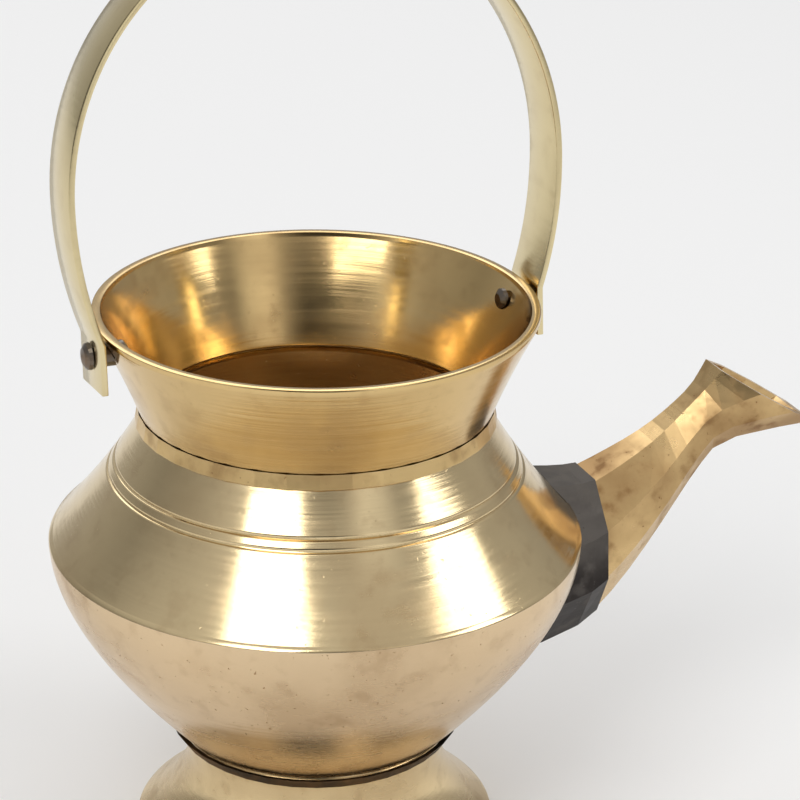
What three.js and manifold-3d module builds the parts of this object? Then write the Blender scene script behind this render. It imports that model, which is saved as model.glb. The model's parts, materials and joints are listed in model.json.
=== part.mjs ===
import * as THREE from 'three';
import { mergeVertices } from 'three/addons/utils/BufferGeometryUtils.js';
import Module from 'manifold-3d';

const wasm = await Module();
wasm.setup();

// Driving dimensions in millimetres
const FOOT_HEIGHT = 34;
const FOOT_BASE_RADIUS = 49;
const FOOT_EDGE_HEIGHT = 3;
const FOOT_EDGE_WIDTH = 3.5;
const FOOT_WAIST_RADIUS = 34.9;
const FOOT_WAIST_HEIGHT = 24;
const FOOT_SEAM_RADIUS = 38.1;
const BOWL_HEIGHT = 54;
const BOWL_SAG = 6;
const BOWL_FULLNESS = 19.5;
const BELLY_RADIUS = 71;
const BELLY_ROUNDING = 1;
const SHOULDER_HEIGHT = 34.5;
const SHOULDER_HOLLOW = 1.6;
const UPPER_GROOVE_HEIGHT = 22.4;
const GROOVE_SPACING = 2.6;
const GROOVE_DEPTH = 0.7;
const GROOVE_WIDTH = 1.1;
const NECK_RADIUS = 45.7;
const NECK_HEIGHT = 30;
const LIP_RADIUS = 58.2;
const LIP_EDGE_HEIGHT = 1.2;
const LIP_WALL = 2.4;
const SHEET_WALL = 1.8;
const FOOT_WALL = 2.2;
const JOINT_GAP = 0.3;

const SPOUT_WALL = 2;
const SOLDER_SPREAD = 3;
const SOLDER_LENGTH_SHARE = 0.22;
const POUR_HOLE_RADIUS = 8.5;
const POUR_HOLE_DROP = 16;

const PIVOT_DROP = 5.7;
const BAIL_WIDTH = 17;
const BAIL_THICKNESS = 1.7;
const BAIL_HALF_SPAN = 66.9;
const BAIL_FOOT_HALF_SPAN = 61;
const BAIL_WIDEST_HEIGHT = 40;
const BAIL_CROWN_HEIGHT = 110;
const BAIL_TAIL = 8.5;
const BAIL_STRAIGHT_RISE = 4.5;
const BAIL_LEAN = THREE.MathUtils.degToRad(5.5);

const RIVET_SHANK_RADIUS = 1.7;
const RIVET_HEAD_RADIUS = 3.6;
const RIVET_HEAD_HEIGHT = 2.3;
const RIVET_PEEN_RADIUS = 3.1;
const RIVET_PEEN_HEIGHT = 2;
const SPACER_RADIUS = 3.2;

const TURNS = 36;

// Heights above the surface that the pot stands on
const seamZ = FOOT_HEIGHT;
const bellyZ = seamZ + BOWL_HEIGHT;
const neckZ = bellyZ + SHOULDER_HEIGHT;
const lipZ = neckZ + NECK_HEIGHT;
const pivotZ = lipZ - PIVOT_DROP;

const at = (r, z) => new THREE.Vector2(r, z);

// The spout in the pot's middle plane: distance from the pot's axis and height above the belly crease
const spoutTop = new THREE.SplineCurve([
  at(62, 2.5), at(76, 3), at(87, 7), at(98, 12.5), at(106, 18.2), at(113, 24.3), at(118.2, 30.7),
]);
const spoutUnderside = new THREE.SplineCurve([
  at(40, -44), at(74, -38.5), at(88, -28), at(101, -12.8), at(111, 0), at(121, 8.8), at(148.8, 11.4),
]);
const spoutHalfWidths = new THREE.SplineCurve([
  at(0, 17), at(1, 16.5), at(2, 14.5), at(3, 11.5), at(4, 9.2), at(5, 8.8), at(6, 12.5),
]);

// Corners of the spout's hammered section, sideways and upwards, from the top facet round to the belly of the tube
const spoutCorners = [
  at(0.38, 1), at(0.93, 0.42), at(1, -0.25), at(0.62, -0.86),
  at(-0.62, -0.86), at(-1, -0.25), at(-0.93, 0.42), at(-0.38, 1),
];

// The pot's axis stands off the origin, so that the origin is in the middle of the whole length
const spoutReach = spoutUnderside.points.at(-1).x;
const spoutTipCorner = Math.abs(Math.min(...spoutCorners.map((corner) => corner.y)));
const spoutMouthTopX = spoutTop.points.at(-1).x;
const spoutTipX = (spoutReach + spoutMouthTopX) / 2 + (spoutTipCorner * (spoutReach - spoutMouthTopX)) / 2;
const axisX = (BELLY_RADIUS - spoutTipX) / 2;

function toSolid(geometry) {
  const bare = geometry.clone();
  bare.deleteAttribute('normal');
  bare.deleteAttribute('uv');
  const merged = mergeVertices(bare, 1e-4);
  const source = merged.index.array;
  const triangles = [];
  for (let i = 0; i < source.length; i += 3) {
    const [a, b, c] = source.slice(i, i + 3);
    if (a !== b && b !== c && c !== a) triangles.push(a, b, c);
  }
  const vertProperties = Float32Array.from(merged.attributes.position.array);
  const solid = new wasm.Manifold(new wasm.Mesh({
    numProp: 3, vertProperties, triVerts: Uint32Array.from(triangles),
  }));
  if (solid.volume() > 0) return solid;
  return new wasm.Manifold(new wasm.Mesh({
    numProp: 3, vertProperties, triVerts: Uint32Array.from(triangles.reverse()),
  }));
}

function toGeometry(solid) {
  const { vertProperties, triVerts, numProp } = solid.getMesh();
  const geometry = new THREE.BufferGeometry();
  const positions = new Float32Array((vertProperties.length / numProp) * 3);
  for (let i = 0; i < positions.length / 3; i++) {
    for (let k = 0; k < 3; k++) positions[i * 3 + k] = vertProperties[i * numProp + k];
  }
  geometry.setAttribute('position', new THREE.BufferAttribute(positions, 3));
  geometry.setIndex(Array.from(triVerts));
  geometry.computeVertexNormals();
  return geometry;
}

// An outline set off to its right hand side, which is outwards on an outline that climbs
function offset(points, distance) {
  return points.map((point, i) => {
    const before = points[Math.max(i - 1, 0)];
    const after = points[Math.min(i + 1, points.length - 1)];
    const along = after.clone().sub(before).normalize();
    const moved = at(point.x + along.y * distance, point.y - along.x * distance);
    if (point.x === 0) moved.x = 0;
    return moved;
  });
}

function revolve(outline) {
  const onAxis = outline[0].x === 0 && outline.at(-1).x === 0;
  const profile = onAxis ? outline : [...outline, outline[0].clone()];
  return toSolid(new THREE.LatheGeometry(profile, TURNS).rotateX(Math.PI / 2));
}

// A turned wall between an outline that climbs and the same outline set in by the wall, cut level at its foot
function wallOf(points, wall) {
  const floor = points[0].y;
  const inner = offset(points, -wall);
  if (points[0].x > 0 && inner[0].y < floor) {
    const foot = at(radiusAt(inner, floor), floor);
    inner.splice(0, inner.findIndex((point) => point.y >= floor), foot);
  }
  return revolve([...points, ...inner.reverse()]);
}

// A round bar along X
function barAlongX(radius, fromX, toX, y, z) {
  const length = toX - fromX;
  const bar = new THREE.CylinderGeometry(radius, radius, length, 24);
  return toSolid(bar.rotateZ(Math.PI / 2).translate(fromX + length / 2, y, z));
}

// Outlines of the turned pieces
function bowlOutline() {
  const bottom = new THREE.QuadraticBezierCurve(
    at(0, seamZ - BOWL_SAG), at(FOOT_SEAM_RADIUS * 0.62, seamZ - BOWL_SAG), at(FOOT_SEAM_RADIUS, seamZ));
  const side = new THREE.QuadraticBezierCurve(
    at(FOOT_SEAM_RADIUS, seamZ), at(BELLY_RADIUS, bellyZ - BOWL_FULLNESS), at(BELLY_RADIUS, bellyZ));
  return [...bottom.getPoints(5), ...side.getPoints(10).slice(1)];
}

function shoulderOutline() {
  const start = at(BELLY_RADIUS - BELLY_ROUNDING, bellyZ + BELLY_ROUNDING);
  const end = at(NECK_RADIUS, neckZ);
  const middle = start.clone().add(end).multiplyScalar(0.5);
  const hollow = at(middle.x - SHOULDER_HOLLOW, middle.y - SHOULDER_HOLLOW);
  const slope = new THREE.QuadraticBezierCurve(start, hollow, end);
  return [at(BELLY_RADIUS, bellyZ + JOINT_GAP), ...slope.getPoints(8)];
}

function neckOutline() {
  const rim = at(LIP_RADIUS, lipZ - LIP_EDGE_HEIGHT);
  const flare = new THREE.QuadraticBezierCurve(
    at(NECK_RADIUS, neckZ + JOINT_GAP), at(NECK_RADIUS + 4.8, neckZ + NECK_HEIGHT * 0.46), rim);
  return [...flare.getPoints(9), at(LIP_RADIUS, lipZ)];
}

function footOutline() {
  const flare = new THREE.QuadraticBezierCurve(
    at(FOOT_BASE_RADIUS, FOOT_EDGE_HEIGHT),
    at(FOOT_WAIST_RADIUS, FOOT_EDGE_HEIGHT + (FOOT_WAIST_HEIGHT - FOOT_EDGE_HEIGHT) * 0.55),
    at(FOOT_WAIST_RADIUS, FOOT_WAIST_HEIGHT));
  const rise = new THREE.QuadraticBezierCurve(
    at(FOOT_WAIST_RADIUS, FOOT_WAIST_HEIGHT),
    at(FOOT_WAIST_RADIUS, seamZ - 3),
    at(FOOT_SEAM_RADIUS, seamZ));
  return [...flare.getPoints(8), ...rise.getPoints(4).slice(1)];
}

// The radius of an outline at a height
function radiusAt(points, z) {
  const i = points.findIndex((point) => point.y >= z);
  const [low, high] = [points[i - 1], points[i]];
  return low.x + ((high.x - low.x) * (z - low.y)) / (high.y - low.y);
}

const bowlLine = bowlOutline();
const shoulderLine = shoulderOutline();
const neckLine = neckOutline();
const footLine = footOutline();

// Solid blanks of the vessel, grown by the joint gap, that trim what is fitted to it
function bodyBlank() {
  const skin = offset([...bowlLine, ...shoulderLine.slice(1)], JOINT_GAP);
  skin[0].x = 0;
  return revolve([...skin, at(0, skin.at(-1).y)]);
}

function neckBlank() {
  const grown = offset(neckLine, JOINT_GAP);
  const inner = offset(neckLine, -LIP_WALL - JOINT_GAP).reverse();
  return revolve([...grown, ...inner]);
}

function footBlank() {
  const grown = offset(footLine, JOINT_GAP);
  return revolve([at(0, FOOT_EDGE_HEIGHT), ...grown, at(0, seamZ)]);
}

const bodySpace = bodyBlank();
const neckSpace = neckBlank();
const footSpace = footBlank();

// Turned pieces
function footRing() {
  const outer = [at(FOOT_BASE_RADIUS, 0), ...footLine];
  const inner = offset(footLine, -FOOT_WALL).reverse();
  inner[inner.length - 1] = at(FOOT_BASE_RADIUS - FOOT_EDGE_WIDTH, FOOT_EDGE_HEIGHT);
  const ring = revolve([...outer, ...inner, at(FOOT_BASE_RADIUS - FOOT_EDGE_WIDTH, 0)]);
  return ring.subtract(bodySpace);
}

function pourHole() {
  return barAlongX(POUR_HOLE_RADIUS, BELLY_RADIUS * 0.6, BELLY_RADIUS + 5, 0, bellyZ - POUR_HOLE_DROP);
}

const lowerBowl = () => wallOf(bowlLine, SHEET_WALL).subtract(pourHole());

function groove(height) {
  const r = radiusAt(shoulderLine, bellyZ + height);
  const z = bellyZ + height;
  const half = GROOVE_WIDTH / 2;
  return revolve([at(r + 1, z - half - 1), at(r + 1, z + half + 1), at(r - GROOVE_DEPTH, z)]);
}

function shoulderShell() {
  const shell = wallOf(shoulderLine, SHEET_WALL);
  return shell.subtract(groove(UPPER_GROOVE_HEIGHT)).subtract(groove(UPPER_GROOVE_HEIGHT - GROOVE_SPACING));
}

const rivetHole = (clearance) => barAlongX(
  RIVET_SHANK_RADIUS + clearance, -LIP_RADIUS - 5, LIP_RADIUS + 5, 0, pivotZ);

const neckCollar = () => wallOf(neckLine, LIP_WALL).subtract(rivetHole(JOINT_GAP));

// Bead of solder that fills the corner between two turned pieces
function seamBead(corner, below, above) {
  return revolve([corner, below, above]).subtract(bodySpace);
}

function neckSeam() {
  const corner = at(NECK_RADIUS - 0.8, neckZ - 0.6);
  const bead = seamBead(corner, at(NECK_RADIUS + 1.9, neckZ - 1.2), at(NECK_RADIUS + 1.2, neckZ + 2.6));
  return bead.subtract(neckSpace);
}

function footSeam() {
  const corner = at(FOOT_SEAM_RADIUS - 2.4, seamZ - 1.6);
  const bead = seamBead(corner, at(FOOT_SEAM_RADIUS - 0.6, seamZ - 3.4), at(FOOT_SEAM_RADIUS + 1.4, seamZ - 0.4));
  return bead.subtract(footSpace);
}

// A spout section at a share of its length, grown or shrunk all round and pushed on along the spout
function spoutPoint(corner, share, growth, push) {
  const top = spoutTop.getPoint(share);
  const under = spoutUnderside.getPoint(share);
  const middle = top.clone().add(under).multiplyScalar(0.5);
  const upwards = top.clone().sub(under);
  const half = upwards.length() / 2 + growth;
  upwards.normalize();
  const sideways = corner.x * (spoutHalfWidths.getPoint(share).y + growth);
  return new THREE.Vector3(
    middle.x + upwards.x * half * corner.y + upwards.y * push,
    sideways,
    bellyZ + middle.y + upwards.y * half * corner.y - upwards.x * push);
}

function spoutLoft({ from = 0, to = 1, growth = () => 0, push = 0, steps = 14 }) {
  const sides = spoutCorners.length;
  const loft = new THREE.CylinderGeometry(1, 1, 1, sides, steps);
  const position = loft.attributes.position;
  for (let i = 0; i < position.count; i++) {
    const run = position.getY(i) + 0.5;
    const share = from + (to - from) * run;
    const isCentre = Math.hypot(position.getX(i), position.getZ(i)) < 0.5;
    const turn = Math.atan2(position.getX(i), position.getZ(i)) / (2 * Math.PI);
    const side = (Math.round(turn * sides) + sides) % sides;
    const corner = isCentre ? at(0, 0) : spoutCorners[side];
    const point = spoutPoint(corner, share, growth(run), run === 1 ? push : 0);
    position.setXYZ(i, point.x, point.y, point.z);
  }
  return toSolid(loft);
}

function spout() {
  const bore = spoutLoft({ growth: () => -SPOUT_WALL, push: SPOUT_WALL * 2 });
  return spoutLoft({}).subtract(bore).subtract(bodySpace);
}

function spoutSolder() {
  const skirt = spoutLoft({ to: SOLDER_LENGTH_SHARE, growth: (run) => JOINT_GAP * 2 + SOLDER_SPREAD * (1 - run), steps: 4 });
  const tube = spoutLoft({ growth: () => JOINT_GAP });
  return skirt.subtract(tube).subtract(bodySpace);
}

// The bail in its own frame: pivot axis along X at height 0
function bailOutline() {
  const bulge = BAIL_WIDEST_HEIGHT - BAIL_STRAIGHT_RISE;
  const lowReach = bulge / Math.sqrt(1 - (BAIL_FOOT_HALF_SPAN / BAIL_HALF_SPAN) ** 2);
  const footAngle = Math.asin(-bulge / lowReach);
  const half = [at(BAIL_FOOT_HALF_SPAN, -BAIL_TAIL)];
  for (let i = 0; i < 5; i++) {
    const angle = footAngle * (1 - i / 5);
    half.push(at(BAIL_HALF_SPAN * Math.cos(angle), BAIL_WIDEST_HEIGHT + lowReach * Math.sin(angle)));
  }
  for (let i = 0; i <= 12; i++) {
    const angle = (Math.PI / 2) * (i / 12);
    const rise = (BAIL_CROWN_HEIGHT - BAIL_WIDEST_HEIGHT) * Math.sin(angle);
    half.push(at(i === 12 ? 0 : BAIL_HALF_SPAN * Math.cos(angle), BAIL_WIDEST_HEIGHT + rise));
  }
  const mirrored = half.slice(0, -1).reverse().map((point) => at(-point.x, point.y));
  return [...half, ...mirrored];
}

function bailStrap() {
  const outer = bailOutline();
  const inner = outer.map((point, i) => {
    const before = outer[Math.max(i - 1, 0)];
    const after = outer[Math.min(i + 1, outer.length - 1)];
    const along = after.clone().sub(before).normalize();
    return at(point.x - along.y * BAIL_THICKNESS, point.y + along.x * BAIL_THICKNESS);
  });
  const shape = new THREE.Shape([...outer, ...inner.reverse()]);
  const strap = new THREE.ExtrudeGeometry(shape, { depth: BAIL_WIDTH, bevelEnabled: false, steps: 1 });
  strap.rotateX(Math.PI / 2).translate(0, BAIL_WIDTH / 2, 0);
  return toSolid(strap).subtract(barAlongX(
    RIVET_SHANK_RADIUS + JOINT_GAP, -BAIL_HALF_SPAN, BAIL_HALF_SPAN, 0, 0));
}

// A piece turned about X, given as distances from the pot's axis and radii, on the right or the left side
function turnedOnPivot(outline, side) {
  const profile = outline.map(([x, r]) => at(r, x));
  const turned = new THREE.LatheGeometry(profile, 20).rotateZ(-Math.PI / 2);
  if (side < 0) turned.rotateZ(Math.PI);
  return toSolid(turned.translate(0, 0, pivotZ));
}

const strapFace = BAIL_FOOT_HALF_SPAN + JOINT_GAP;
const strapBack = BAIL_FOOT_HALF_SPAN - BAIL_THICKNESS - JOINT_GAP * 2;
const wallFace = radiusAt(neckLine, pivotZ);
const wallBack = wallFace - LIP_WALL;

function rivet(side) {
  const outline = [
    [wallBack - RIVET_PEEN_HEIGHT, 0],
    [wallBack - RIVET_PEEN_HEIGHT, RIVET_PEEN_RADIUS * 0.6],
    [wallBack - RIVET_PEEN_HEIGHT * 0.5, RIVET_PEEN_RADIUS],
    [wallBack, RIVET_PEEN_RADIUS],
    [wallBack, RIVET_SHANK_RADIUS],
    [strapFace, RIVET_SHANK_RADIUS],
    [strapFace, RIVET_HEAD_RADIUS],
    [strapFace + RIVET_HEAD_HEIGHT * 0.45, RIVET_HEAD_RADIUS * 0.94],
    [strapFace + RIVET_HEAD_HEIGHT * 0.8, RIVET_HEAD_RADIUS * 0.62],
    [strapFace + RIVET_HEAD_HEIGHT, 0],
  ];
  const wall = neckSpace.subtract(rivetHole(JOINT_GAP / 2));
  return turnedOnPivot(outline, side).subtract(wall);
}

function spacer(side) {
  const bore = RIVET_SHANK_RADIUS + JOINT_GAP;
  const outline = [
    [wallFace - LIP_WALL / 2, bore], [strapBack, bore], [strapBack, SPACER_RADIUS],
    [wallFace - LIP_WALL / 2, SPACER_RADIUS], [wallFace - LIP_WALL / 2, bore],
  ];
  return turnedOnPivot(outline, side).subtract(neckSpace);
}

// Scene graph
const vessel = new THREE.Group();
vessel.position.x = axisX;
const bail = new THREE.Group();
bail.position.z = pivotZ;
bail.rotation.x = -BAIL_LEAN;
vessel.add(bail);

function addPiece(parent, name, solid, color, roughness, metalness) {
  const material = new THREE.MeshStandardMaterial({ color, roughness, metalness });
  const mesh = new THREE.Mesh(toGeometry(solid), material);
  mesh.name = name;
  parent.add(mesh);
}

const BRASS = 0xcdb78c;
const DEEP_BRASS = 0xb9995f;
const SOLDER = 0x4a4338;
const STEEL = 0x4b4a4c;
addPiece(vessel, 'foot_ring', footRing(), DEEP_BRASS, 0.3, 1);
addPiece(vessel, 'foot_seam', footSeam(), SOLDER, 0.6, 0.8);
addPiece(vessel, 'lower_bowl', lowerBowl(), BRASS, 0.3, 1);
addPiece(vessel, 'shoulder_shell', shoulderShell(), BRASS, 0.22, 1);
addPiece(vessel, 'neck_seam', neckSeam(), SOLDER, 0.6, 0.8);
addPiece(vessel, 'neck_collar', neckCollar(), DEEP_BRASS, 0.2, 1);
addPiece(vessel, 'spout', spout(), DEEP_BRASS, 0.3, 1);
addPiece(vessel, 'spout_solder', spoutSolder(), SOLDER, 0.6, 0.8);
addPiece(vessel, 'rivet_left', rivet(-1), STEEL, 0.4, 1);
addPiece(vessel, 'rivet_right', rivet(1), STEEL, 0.4, 1);
addPiece(vessel, 'spacer_left', spacer(-1), STEEL, 0.45, 1);
addPiece(vessel, 'spacer_right', spacer(1), STEEL, 0.45, 1);
addPiece(bail, 'bail_handle', bailStrap(), BRASS, 0.25, 1);

export default vessel;
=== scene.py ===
import json
import math

import bmesh
import bpy
from mathutils import Matrix, Vector


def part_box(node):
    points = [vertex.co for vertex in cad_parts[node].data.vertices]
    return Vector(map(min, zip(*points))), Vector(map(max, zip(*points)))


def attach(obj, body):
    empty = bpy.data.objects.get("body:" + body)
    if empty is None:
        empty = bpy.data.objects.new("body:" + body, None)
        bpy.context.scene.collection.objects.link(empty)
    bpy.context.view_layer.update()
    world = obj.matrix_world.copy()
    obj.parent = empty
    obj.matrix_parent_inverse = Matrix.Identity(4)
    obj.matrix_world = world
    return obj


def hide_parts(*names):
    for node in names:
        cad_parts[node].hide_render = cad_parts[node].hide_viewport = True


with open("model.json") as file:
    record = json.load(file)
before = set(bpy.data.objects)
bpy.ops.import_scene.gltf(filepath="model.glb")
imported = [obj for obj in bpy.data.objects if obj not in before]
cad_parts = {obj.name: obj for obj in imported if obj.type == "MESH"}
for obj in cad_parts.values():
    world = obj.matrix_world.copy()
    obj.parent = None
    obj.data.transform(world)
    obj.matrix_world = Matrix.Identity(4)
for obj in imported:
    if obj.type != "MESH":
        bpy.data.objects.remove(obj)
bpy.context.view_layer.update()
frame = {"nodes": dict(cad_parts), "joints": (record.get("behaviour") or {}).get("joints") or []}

bl_info = {
    "name": "Spouted water pot",
    "version": (1, 0, 0),
    "blender": (4, 5, 0),
    "location": "View3D > Sidebar > Water pot",
    "description": "Dresses a brass water pot with turned walls, a strap bail and worn metal",
    "category": "Add Mesh",
}

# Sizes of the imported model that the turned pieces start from
BOWL_LOW, BOWL_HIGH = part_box("lower_bowl")
FOOT_LOW, FOOT_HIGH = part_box("foot_ring")
NECK_LOW, NECK_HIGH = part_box("neck_collar")
BAIL_LOW, BAIL_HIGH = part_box("bail_handle")
HINGE = frame["joints"][0]
AXIS_X = (BOWL_LOW[0] + BOWL_HIGH[0]) / 2
MM = 0.001

# Small shapes of the turned pieces
FOOT_WALL = 2.2 * MM
FOOT_FLARE_BEND = 0.55
FOOT_RISE_BEND = 3 * MM
FOOT_TOP_GAP = 0.9 * MM
FOOT_TOP_INSET = 0.6 * MM
FOOT_TOP_CHAMFER = 1.2 * MM
FOOT_ROUNDING = 0.35 * MM
BOWL_BOTTOM_BEND = 0.62
BELLY_ROUNDING = 1 * MM
BELLY_EDGE = ((0, 0.05 * MM), (0.3 * MM, 0.6 * MM))
BELLY_INNER_INSET = 2.2 * MM
GROOVE_HALF_WIDTH = 0.5 * MM
GROOVE_INWARDS = 0.8
GROOVE_DOWNWARDS = 0.6
NECK_GAP = 0.2 * MM
NECK_BEND = 4.8 * MM
NECK_BEND_SHARE = 0.46
LIP_EDGE = 1.2 * MM
LIP_ROUNDING = 0.25 * MM
BAIL_TAIL = 8.5 * MM
BAIL_STRAIGHT_RISE = 4.5 * MM
BAIL_ROUNDING = 0.3 * MM
CREASE_ANGLE = math.radians(38)
TURN_STEPS = 180
BAIL_SIDE_STEPS = 16
BAIL_CROWN_STEPS = 48

# Film amount, line scale, pore amount, shine and relief of each finish
FINISHES = {
    "foot_brass": (0.3, 700, 0.3, 0.2, 0.3),
    "seam_solder": (0.5, 400, 0.6, 0.5, 0.6),
    "bowl_brass": (0.3, 900, 0.8, 0.2, 0.35),
    "body_brass": (0.28, 1100, 0.25, 0.15, 0.35),
    "neck_brass": (0.3, 800, 0.2, 0.13, 0.3),
    "neck_solder": (0.6, 500, 0.5, 0.3, 0.4),
    "spout_brass": (0.7, 350, 0.7, 0.27, 0.6),
    "solder": (0.8, 300, 1.0, 0.38, 1.0),
    "bail_brass": (0.15, 500, 0.15, 0.17, 0.25),
    "steel": (0.5, 900, 0.5, 0.32, 0.5),
}

# The camera stands in front, above and to the left of the pot
CAMERA_PLACE = (-0.2981, -0.6746, 0.4309)
CAMERA_TURN = math.radians(-22.84)
CAMERA_TILT = math.radians(90 - 22.87)
CAMERA_ROLL = math.radians(0.89)
CAMERA_LENS = 134.5

# Studio light: brightness round the room as a share of the turn, the ceiling, and three soft lamps
ROOM_BANDS = ((0.0, 0.75), (0.07, 1.2), (0.115, 0.35), (0.155, 0.06), (0.215, 0.05), (0.245, 0.5), (0.27, 1.9),
              (0.31, 1.4), (0.34, 0.45), (0.5, 0.8), (0.6, 0.5), (0.75, 0.9), (0.9, 0.5), (1.0, 0.75))
CEILING = 1.1
CEILING_START = 0.35
CEILING_FULL = 0.85
ROOM_STRENGTH = 0.6
LAMPS = (
    ("key", (-0.9, -0.8, 1.3), 0.8, 8),
    ("fill", (1.1, -0.7, 1.1), 0.7, 5),
    ("back", (0.2, 1.3, 1.4), 1.2, 7),
)
LAMPS_AIM = (0, 0, 0.1)
FLOOR_HALF_SIZE = 6
FLOOR_ROUGHNESS = 0.9


def length(name, description, default):
    return bpy.props.FloatProperty(
        name=name, description=description, default=default, unit="LENGTH", precision=5)


def colour(name, description, default):
    return bpy.props.FloatVectorProperty(
        name=name, description=description, default=default, subtype="COLOR", size=3, min=0, max=1)


class PotSizes(bpy.types.PropertyGroup):
    belly_radius: length("Belly radius", "Radius at the crease of the belly", (BOWL_HIGH[0] - BOWL_LOW[0]) / 2)
    belly_height: length("Belly height", "Height of the crease over the floor", BOWL_HIGH[2])
    bowl_bottom: length("Bowl bottom", "Lowest point of the bowl", BOWL_LOW[2])
    bowl_fullness: length("Bowl fullness", "How far the bowl stays upright under the crease", 19.5 * MM)
    seam_radius: length("Seam radius", "Radius of the bowl at the foot", 38.1 * MM)
    seam_height: length("Seam height", "Height of the foot's seam", 34 * MM)
    foot_radius: length("Foot radius", "Radius of the foot's edge", (FOOT_HIGH[0] - FOOT_LOW[0]) / 2)
    foot_edge: length("Foot edge", "Height of the foot's upright edge", 3 * MM)
    foot_edge_width: length("Foot edge width", "Width of the face that the pot stands on", 3.5 * MM)
    waist_radius: length("Waist radius", "Radius of the foot at its waist", 34.9 * MM)
    waist_height: length("Waist height", "Height of the foot's waist", 24 * MM)
    shoulder_height: length("Shoulder height", "Height of the shoulder over the crease", 34.5 * MM)
    shoulder_hollow: length("Shoulder hollow", "How far the shoulder falls in", 1.6 * MM)
    groove_height: length("Groove height", "Height of the upper groove over the crease", 22.4 * MM)
    groove_spacing: length("Groove spacing", "Distance between the two grooves", 2.6 * MM)
    groove_depth: length("Groove depth", "Depth of the two grooves", 0.5 * MM)
    neck_radius: length("Neck radius", "Radius at the neck's joint", 45.7 * MM)
    neck_top: length("Lip height", "Height of the lip over the floor", NECK_HIGH[2])
    lip_radius: length("Lip radius", "Radius of the lip", (NECK_HIGH[0] - NECK_LOW[0]) / 2)
    lip_wall: length("Lip wall", "Thickness of the neck's wall", 2.4 * MM)
    sheet: length("Sheet", "Thickness of the body's wall", 1.8 * MM)
    bail_width: length("Bail width", "Width of the strap", 17 * MM)
    bail_wall: length("Bail thickness", "Thickness of the strap", 1.7 * MM)
    bail_half_span: length("Bail half span", "Half the bail's widest span", (BAIL_HIGH[0] - BAIL_LOW[0]) / 2)
    bail_foot_span: length("Bail foot half span", "Half the span at the rivets", 61 * MM)
    bail_widest: length("Bail widest height", "Height of the widest span over the pivot", 40 * MM)
    bail_crown: length("Bail crown", "Height of the crown over the pivot", 110 * MM)
    bail_lean: bpy.props.FloatProperty(
        name="Bail lean", description="Lean of the bail at rest", default=math.radians(5.5), subtype="ANGLE")


class PotColours(bpy.types.PropertyGroup):
    body: colour("Body", "Polished brass of the shoulder", (0.72, 0.57, 0.33))
    neck: colour("Neck", "Deeper brass of the neck", (0.70, 0.50, 0.23))
    bowl: colour("Bowl", "Pinker brass of the bowl", (0.74, 0.56, 0.35))
    foot: colour("Foot", "Brass of the foot", (0.78, 0.61, 0.35))
    bail: colour("Bail", "Pale brass of the bail", (0.74, 0.62, 0.36))
    spout: colour("Spout", "Filed brass of the spout", (0.66, 0.46, 0.22))
    tarnish: colour("Tarnish", "Brown film on the brass", (0.30, 0.17, 0.07))
    solder: colour("Solder", "Dark solder and flux", (0.035, 0.03, 0.028))
    steel: colour("Steel", "Dark steel of the rivets", (0.16, 0.145, 0.13))
    floor: colour("Floor", "Pale studio floor", (0.93, 0.93, 0.93))


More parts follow.
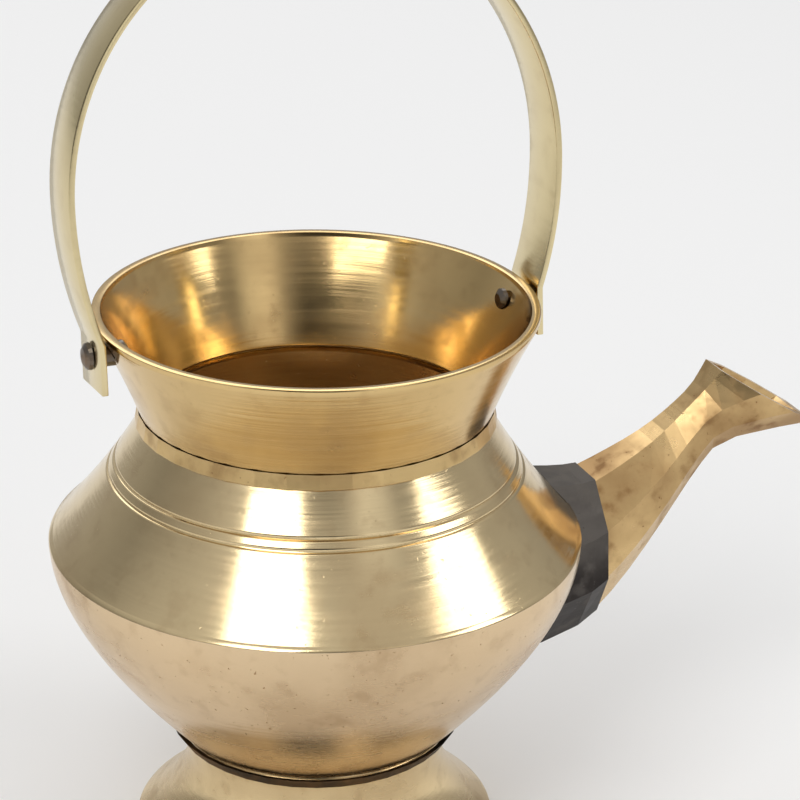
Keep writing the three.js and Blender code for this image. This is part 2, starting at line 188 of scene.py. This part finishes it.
# Materials
def worn_metal_group():
    """Turning lines, stains and pores that every brass surface shares."""
    name = "worn_metal"
    if name in bpy.data.node_groups:
        return bpy.data.node_groups[name]
    group = bpy.data.node_groups.new(name, "ShaderNodeTree")
    sockets = group.interface
    for label, kind, value in (("Metal", "NodeSocketColor", (0.8, 0.65, 0.4, 1)),
                               ("Film", "NodeSocketColor", (0.3, 0.2, 0.1, 1)),
                               ("Film amount", "NodeSocketFloat", 0.4),
                               ("Line scale", "NodeSocketFloat", 900.0),
                               ("Pore amount", "NodeSocketFloat", 0.3),
                               ("Shine", "NodeSocketFloat", 0.2),
                               ("Relief", "NodeSocketFloat", 0.2)):
        socket = sockets.new_socket(name=label, in_out="INPUT", socket_type=kind)
        socket.default_value = value
    for label, kind in (("Color", "NodeSocketColor"), ("Roughness", "NodeSocketFloat"),
                        ("Normal", "NodeSocketVector")):
        sockets.new_socket(name=label, in_out="OUTPUT", socket_type=kind)
    nodes, links = group.nodes, group.links
    inputs = nodes.new("NodeGroupInput")
    outputs = nodes.new("NodeGroupOutput")
    place = nodes.new("ShaderNodeTexCoord")

    def math_node(operation, first, second):
        node = nodes.new("ShaderNodeMath")
        node.operation = operation
        for socket, value in zip(node.inputs, (first, second)):
            if isinstance(value, (int, float)):
                socket.default_value = value
            else:
                links.new(value, socket)
        return node.outputs[0]

    def noise(scale, detail, vector=None):
        node = nodes.new("ShaderNodeTexNoise")
        node.inputs["Scale"].default_value = scale
        node.inputs["Detail"].default_value = detail
        links.new(vector or place.outputs["Object"], node.inputs["Vector"])
        return node.outputs["Fac"]

    def ramp(value, low, high):
        node = nodes.new("ShaderNodeMapRange")
        node.interpolation_type = "SMOOTHSTEP"
        node.inputs["From Min"].default_value = low
        node.inputs["From Max"].default_value = high
        links.new(value, node.inputs["Value"])
        return node.outputs["Result"]

    stretch = nodes.new("ShaderNodeMapping")
    stretch.inputs["Scale"].default_value = (0.02, 0.02, 1.0)
    links.new(place.outputs["Object"], stretch.inputs["Vector"])
    lines = nodes.new("ShaderNodeTexNoise")
    lines.inputs["Detail"].default_value = 5
    links.new(stretch.outputs["Vector"], lines.inputs["Vector"])
    links.new(inputs.outputs["Line scale"], lines.inputs["Scale"])
    stains = ramp(noise(28, 5), 0.42, 0.68)
    patches = ramp(noise(160, 6), 0.5, 0.72)
    pores = ramp(noise(900, 3), 0.68, 0.76)
    film = math_node("MULTIPLY", math_node("ADD", stains, math_node("MULTIPLY", patches, 0.6)),
                     inputs.outputs["Film amount"])
    pitted = math_node("MULTIPLY", pores, inputs.outputs["Pore amount"])
    mask = math_node("MINIMUM", math_node("ADD", film, pitted), 1.0)
    mix = nodes.new("ShaderNodeMix")
    mix.data_type = "RGBA"
    links.new(mask, mix.inputs["Factor"])
    links.new(inputs.outputs["Metal"], mix.inputs["A"])
    links.new(inputs.outputs["Film"], mix.inputs["B"])
    links.new(mix.outputs["Result"], outputs.inputs["Color"])
    grain = math_node("MULTIPLY", math_node("SUBTRACT", lines.outputs["Fac"], 0.5), 0.18)
    rough = math_node("ADD", inputs.outputs["Shine"], math_node("MULTIPLY", mask, 0.3))
    rough = math_node("ADD", rough, grain)
    links.new(math_node("MAXIMUM", rough, 0.05), outputs.inputs["Roughness"])
    height = math_node("SUBTRACT", lines.outputs["Fac"], math_node("MULTIPLY", pitted, 2.0))
    bump = nodes.new("ShaderNodeBump")
    bump.inputs["Distance"].default_value = 0.0001
    links.new(inputs.outputs["Relief"], bump.inputs["Strength"])
    links.new(height, bump.inputs["Height"])
    links.new(bump.outputs["Normal"], outputs.inputs["Normal"])
    return group


def metal(name, base, film, finish=None):
    """A worn metal material; its values are those of the finish of that name, or of its own name."""
    material = bpy.data.materials.new(name)
    material.use_nodes = True
    nodes, links = material.node_tree.nodes, material.node_tree.links
    shader = nodes["Principled BSDF"]
    shader.inputs["Metallic"].default_value = 1.0
    worn = nodes.new("ShaderNodeGroup")
    worn.node_tree = worn_metal_group()
    worn.inputs["Metal"].default_value = (*base, 1)
    worn.inputs["Film"].default_value = (*film, 1)
    labels = ("Film amount", "Line scale", "Pore amount", "Shine", "Relief")
    for label, value in zip(labels, FINISHES[finish or name]):
        worn.inputs[label].default_value = value
    links.new(worn.outputs["Color"], shader.inputs["Base Color"])
    links.new(worn.outputs["Roughness"], shader.inputs["Roughness"])
    links.new(worn.outputs["Normal"], shader.inputs["Normal"])
    material.diffuse_color = (*base, 1)
    return material


# Mesh tools
def quadratic(start, control, end, steps):
    """Points along a quadratic curve."""
    points = []
    for i in range(steps + 1):
        t = i / steps
        points.append((
            (1 - t) ** 2 * start[0] + 2 * t * (1 - t) * control[0] + t * t * end[0],
            (1 - t) ** 2 * start[1] + 2 * t * (1 - t) * control[1] + t * t * end[1]))
    return points


def inset(points, distance):
    """The same climbing outline, moved inwards by a wall."""
    moved = []
    for i, (r, z) in enumerate(points):
        before = points[max(i - 1, 0)]
        after = points[min(i + 1, len(points) - 1)]
        along = Vector((after[0] - before[0], after[1] - before[1])).normalized()
        moved.append((0 if r == 0 else r - along.y * distance, z + along.x * distance))
    return moved


def is_crease(edge):
    """Whether two faces meet at this edge in a corner."""
    return len(edge.link_faces) == 2 and edge.calc_face_angle(0) > CREASE_ANGLE


def finish_mesh(name, bm, rounding=0.0):
    """Merges, orients and rounds a mesh and makes it an object."""
    bmesh.ops.remove_doubles(bm, verts=bm.verts, dist=1e-6)
    bmesh.ops.recalc_face_normals(bm, faces=bm.faces)
    if rounding:
        sharp = [edge for edge in bm.edges if is_crease(edge)]
        bmesh.ops.bevel(bm, geom=sharp, affect="EDGES", offset=rounding, segments=2, profile=0.5, material=-1)
    for face in bm.faces:
        face.smooth = True
    for edge in bm.edges:
        if is_crease(edge):
            edge.smooth = False
    mesh = bpy.data.meshes.new(name)
    bm.to_mesh(mesh)
    bm.free()
    piece = bpy.data.objects.new(name, mesh)
    bpy.context.scene.collection.objects.link(piece)
    return piece


def turned(name, outline, rounding=0.0):
    """A piece turned about the pot's axis from a closed outline, or from one that ends on the axis."""
    bm = bmesh.new()
    corners = [bm.verts.new((AXIS_X + r, 0, z)) for r, z in outline]
    edges = [bm.edges.new(pair) for pair in zip(corners, corners[1:])]
    if outline[0][0] > 0:
        edges.append(bm.edges.new((corners[-1], corners[0])))
    bmesh.ops.spin(bm, geom=corners + edges, cent=(AXIS_X, 0, 0), axis=(0, 0, 1), dvec=(0, 0, 0),
                   angle=2 * math.pi, steps=TURN_STEPS, use_merge=True)
    return finish_mesh(name, bm, rounding)


def dress(piece, node, material, body="vessel"):
    """Lets a new piece stand for its node."""
    piece.data.materials.clear()
    piece.data.materials.append(material)
    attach(piece, body)
    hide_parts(node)


def refinish(node, material):
    """Gives a carried-over node its finish."""
    piece = frame["nodes"][node]
    piece.data.materials.clear()
    piece.data.materials.append(material)


class PotOperator:
    bl_options = {"REGISTER", "UNDO"}


class POT_OT_foot(PotOperator, bpy.types.Operator):
    """Turn the flared foot"""
    bl_idname = "pot.foot"
    bl_label = "Foot"

    def execute(self, context):
        s, c = context.scene.pot_sizes, context.scene.pot_colours
        edge = s.foot_edge
        bend = edge + (s.waist_height - edge) * FOOT_FLARE_BEND
        flare = quadratic((s.foot_radius, edge), (s.waist_radius, bend), (s.waist_radius, s.waist_height), 24)
        top = s.seam_height - FOOT_TOP_GAP
        rise = quadratic((s.waist_radius, s.waist_height), (s.waist_radius, s.seam_height - FOOT_RISE_BEND),
                         (s.seam_radius - FOOT_TOP_INSET, top), 10)
        outer = [(s.foot_radius, 0)] + flare + rise[1:]
        inner = inset(flare + rise[1:], FOOT_WALL)[::-1]
        inner[-1] = (s.foot_radius - s.foot_edge_width, edge)
        inner[0] = (inner[1][0] + FOOT_TOP_INSET, top - FOOT_TOP_CHAMFER)
        piece = turned("foot", outer + inner + [(s.foot_radius - s.foot_edge_width, 0)], FOOT_ROUNDING)
        dress(piece, "foot_ring", metal("foot_brass", c.foot, c.tarnish))
        refinish("foot_seam", metal("seam_solder", c.solder, c.tarnish))
        return {"FINISHED"}


class POT_OT_bowl(PotOperator, bpy.types.Operator):
    """Turn the pitted lower bowl"""
    bl_idname = "pot.bowl"
    bl_label = "Lower bowl"

    def execute(self, context):
        s, c = context.scene.pot_sizes, context.scene.pot_colours
        bottom = quadratic((0, s.bowl_bottom), (s.seam_radius * BOWL_BOTTOM_BEND, s.bowl_bottom),
                           (s.seam_radius, s.seam_height), 16)
        side = quadratic((s.seam_radius, s.seam_height), (s.belly_radius, s.belly_height - s.bowl_fullness),
                         (s.belly_radius, s.belly_height), 40)
        line = bottom + side[1:]
        piece = turned("bowl", line + inset(line, s.sheet)[::-1])
        dress(piece, "lower_bowl", metal("bowl_brass", c.bowl, c.tarnish))
        return {"FINISHED"}


class POT_OT_shoulder(PotOperator, bpy.types.Operator):
    """Turn the shoulder with its two grooves"""
    bl_idname = "pot.shoulder"
    bl_label = "Shoulder"

    def execute(self, context):
        s, c = context.scene.pot_sizes, context.scene.pot_colours
        start = (s.belly_radius - BELLY_ROUNDING, s.belly_height + BELLY_ROUNDING)
        end = (s.neck_radius, s.belly_height + s.shoulder_height)
        hollow = ((start[0] + end[0]) / 2 - s.shoulder_hollow, (start[1] + end[1]) / 2 - s.shoulder_hollow)
        slope = quadratic(start, hollow, end, 160)
        grooves = [s.belly_height + s.groove_height - s.groove_spacing * i for i in range(2)]
        cut = []
        for r, z in slope:
            depth = s.groove_depth * sum(
                max(0.0, 1 - abs(z - height) / GROOVE_HALF_WIDTH) for height in grooves)
            cut.append((r - depth * GROOVE_INWARDS, z - depth * GROOVE_DOWNWARDS))
        line = [(s.belly_radius - inwards, s.belly_height + up) for inwards, up in BELLY_EDGE]
        inner = [point for point in inset(slope[::8], s.sheet) if point[1] > line[0][1]]
        foot = (s.belly_radius - BELLY_INNER_INSET, line[0][1])
        piece = turned("shoulder", line + cut + inner[::-1] + [foot])
        dress(piece, "shoulder_shell", metal("body_brass", c.body, c.tarnish))
        return {"FINISHED"}


class POT_OT_neck(PotOperator, bpy.types.Operator):
    """Turn the flared neck and its lip"""
    bl_idname = "pot.neck"
    bl_label = "Neck"

    def execute(self, context):
        s, c = context.scene.pot_sizes, context.scene.pot_colours
        low = s.belly_height + s.shoulder_height + NECK_GAP
        edge = s.neck_top - LIP_EDGE
        height = s.neck_top - low
        flare = quadratic((s.neck_radius, low), (s.neck_radius + NECK_BEND, low + height * NECK_BEND_SHARE),
                          (s.lip_radius, edge), 48)
        line = flare + [(s.lip_radius, s.neck_top)]
        inner = inset(flare, s.lip_wall)[::-1]
        inner[0] = (s.lip_radius - s.lip_wall, s.neck_top)
        piece = turned("neck", line + inner, LIP_ROUNDING)
        dress(piece, "neck_collar", metal("neck_brass", c.neck, c.tarnish))
        refinish("neck_seam", metal("neck_solder", c.neck, c.tarnish))
        return {"FINISHED"}


class POT_OT_spout(PotOperator, bpy.types.Operator):
    """Finish the filed spout and the dark solder at its root"""
    bl_idname = "pot.spout"
    bl_label = "Spout"

    def execute(self, context):
        c = context.scene.pot_colours
        refinish("spout", metal("spout_brass", c.spout, c.tarnish))
        refinish("spout_solder", metal("solder", c.solder, c.steel))
        return {"FINISHED"}


class POT_OT_bail(PotOperator, bpy.types.Operator):
    """Bend the strap bail and finish its rivets"""
    bl_idname = "pot.bail"
    bl_label = "Bail"

    def execute(self, context):
        s, c = context.scene.pot_sizes, context.scene.pot_colours
        pivot = Vector(HINGE["pos_m"])
        bulge = s.bail_widest - BAIL_STRAIGHT_RISE
        reach = bulge / math.sqrt(1 - (s.bail_foot_span / s.bail_half_span) ** 2)
        foot_angle = math.asin(-bulge / reach)
        half = [(s.bail_foot_span, -BAIL_TAIL)]
        for i in range(BAIL_SIDE_STEPS):
            angle = foot_angle * (1 - i / BAIL_SIDE_STEPS)
            half.append((s.bail_half_span * math.cos(angle), s.bail_widest + reach * math.sin(angle)))
        for i in range(BAIL_CROWN_STEPS + 1):
            angle = math.pi / 2 * i / BAIL_CROWN_STEPS
            across = 0 if i == BAIL_CROWN_STEPS else s.bail_half_span * math.cos(angle)
            half.append((across, s.bail_widest + (s.bail_crown - s.bail_widest) * math.sin(angle)))
        outer = half + [(-x, z) for x, z in half[-2::-1]]
        inner = inset(outer, s.bail_wall)
        bm = bmesh.new()
        rows = [[bm.verts.new((x, -s.bail_width / 2, z)) for x, z in line] for line in (outer, inner)]
        for i in range(len(outer) - 1):
            bm.faces.new((rows[0][i], rows[0][i + 1], rows[1][i + 1], rows[1][i]))
        grown = bmesh.ops.extrude_face_region(bm, geom=bm.faces[:])
        moved = [item for item in grown["geom"] if isinstance(item, bmesh.types.BMVert)]
        bmesh.ops.translate(bm, verts=moved, vec=(0, s.bail_width, 0))
        bmesh.ops.rotate(bm, verts=bm.verts, cent=(0, 0, 0), matrix=Matrix.Rotation(-s.bail_lean, 3, "X"))
        bmesh.ops.translate(bm, verts=bm.verts, vec=pivot)
        piece = finish_mesh("bail_strap", bm, BAIL_ROUNDING)
        dress(piece, "bail_handle", metal("bail_brass", c.bail, c.tarnish), "bail")
        for node in ("rivet_left", "rivet_right", "spacer_left", "spacer_right"):
            refinish(node, metal(node + "_steel", c.steel, c.tarnish, "steel"))
        return {"FINISHED"}


class POT_OT_stage(PotOperator, bpy.types.Operator):
    """Set the floor, the studio light and the camera"""
    bl_idname = "pot.stage"
    bl_label = "Stage"

    def execute(self, context):
        scene = context.scene
        bm = bmesh.new()
        bmesh.ops.create_grid(bm, x_segments=1, y_segments=1, size=FLOOR_HALF_SIZE)
        floor = finish_mesh("floor", bm)
        pale = bpy.data.materials.new("pale_floor")
        pale.use_nodes = True
        shader = pale.node_tree.nodes["Principled BSDF"]
        shader.inputs["Base Color"].default_value = (*scene.pot_colours.floor, 1)
        shader.inputs["Roughness"].default_value = FLOOR_ROUGHNESS
        floor.data.materials.append(pale)
        world = bpy.data.worlds.new("studio")
        scene.world = world
        world.use_nodes = True
        nodes, links = world.node_tree.nodes, world.node_tree.links
        place = nodes.new("ShaderNodeTexCoord")
        split = nodes.new("ShaderNodeSeparateXYZ")
        links.new(place.outputs["Generated"], split.inputs[0])
        turn = nodes.new("ShaderNodeMath")
        turn.operation = "ARCTAN2"
        links.new(split.outputs["Y"], turn.inputs[0])
        links.new(split.outputs["X"], turn.inputs[1])
        share = nodes.new("ShaderNodeMapRange")
        share.inputs["From Min"].default_value = -math.pi
        share.inputs["From Max"].default_value = math.pi
        links.new(turn.outputs[0], share.inputs["Value"])
        bands = nodes.new("ShaderNodeValToRGB")
        elements = bands.color_ramp.elements
        while len(elements) < len(ROOM_BANDS):
            elements.new(0.5)
        for element, (position, value) in zip(elements, ROOM_BANDS):
            element.position = position
            element.color = (value, value, value, 1)
        links.new(share.outputs[0], bands.inputs["Fac"])
        sky = nodes.new("ShaderNodeMapRange")
        sky.interpolation_type = "SMOOTHSTEP"
        sky.inputs["From Min"].default_value = CEILING_START
        sky.inputs["From Max"].default_value = CEILING_FULL
        links.new(split.outputs["Z"], sky.inputs["Value"])
        mix = nodes.new("ShaderNodeMix")
        mix.data_type = "RGBA"
        links.new(sky.outputs[0], mix.inputs["Factor"])
        links.new(bands.outputs["Color"], mix.inputs["A"])
        mix.inputs["B"].default_value = (CEILING, CEILING, CEILING, 1)
        background = nodes["Background"]
        links.new(mix.outputs["Result"], background.inputs["Color"])
        background.inputs["Strength"].default_value = ROOM_STRENGTH
        for name, lamp_place, size, power in LAMPS:
            data = bpy.data.lights.new(name, "AREA")
            data.size = size
            data.energy = power
            lamp = bpy.data.objects.new(name, data)
            lamp.location = lamp_place
            lamp.rotation_euler = (Vector(LAMPS_AIM) - Vector(lamp_place)).to_track_quat("-Z", "Y").to_euler()
            scene.collection.objects.link(lamp)
        data = bpy.data.cameras.new("camera")
        data.sensor_width = 36
        data.lens = CAMERA_LENS
        data.clip_start = 0.01
        camera = bpy.data.objects.new("camera", data)
        turned_round = Matrix.Rotation(CAMERA_TURN, 3, "Z")
        tilted = Matrix.Rotation(CAMERA_TILT, 3, "X")
        rolled = Matrix.Rotation(CAMERA_ROLL, 3, "Z")
        facing = (turned_round @ tilted @ rolled).to_4x4()
        camera.matrix_world = Matrix.Translation(CAMERA_PLACE) @ facing
        scene.collection.objects.link(camera)
        scene.camera = camera
        scene.view_settings.view_transform = "Standard"
        return {"FINISHED"}


class POT_PT_panel(bpy.types.Panel):
    bl_label = "Water pot"
    bl_space_type = "VIEW_3D"
    bl_region_type = "UI"
    bl_category = "Water pot"

    def draw(self, context):
        for operator in OPERATORS:
            self.layout.operator(operator.bl_idname)
        for group in (context.scene.pot_sizes, context.scene.pot_colours):
            for name in group.__annotations__:
                self.layout.prop(group, name)


OPERATORS = (POT_OT_foot, POT_OT_bowl, POT_OT_shoulder, POT_OT_neck, POT_OT_spout, POT_OT_bail, POT_OT_stage)
CLASSES = (PotSizes, PotColours, *OPERATORS, POT_PT_panel)


def register():
    for cls in CLASSES:
        bpy.utils.register_class(cls)
    bpy.types.Scene.pot_sizes = bpy.props.PointerProperty(type=PotSizes)
    bpy.types.Scene.pot_colours = bpy.props.PointerProperty(type=PotColours)


def unregister():
    del bpy.types.Scene.pot_sizes
    del bpy.types.Scene.pot_colours
    for cls in reversed(CLASSES):
        bpy.utils.unregister_class(cls)


def main():
    register()
    for operator in OPERATORS:
        getattr(bpy.ops.pot, operator.bl_idname.split(".")[1])()


if __name__ == "__main__":
    main()
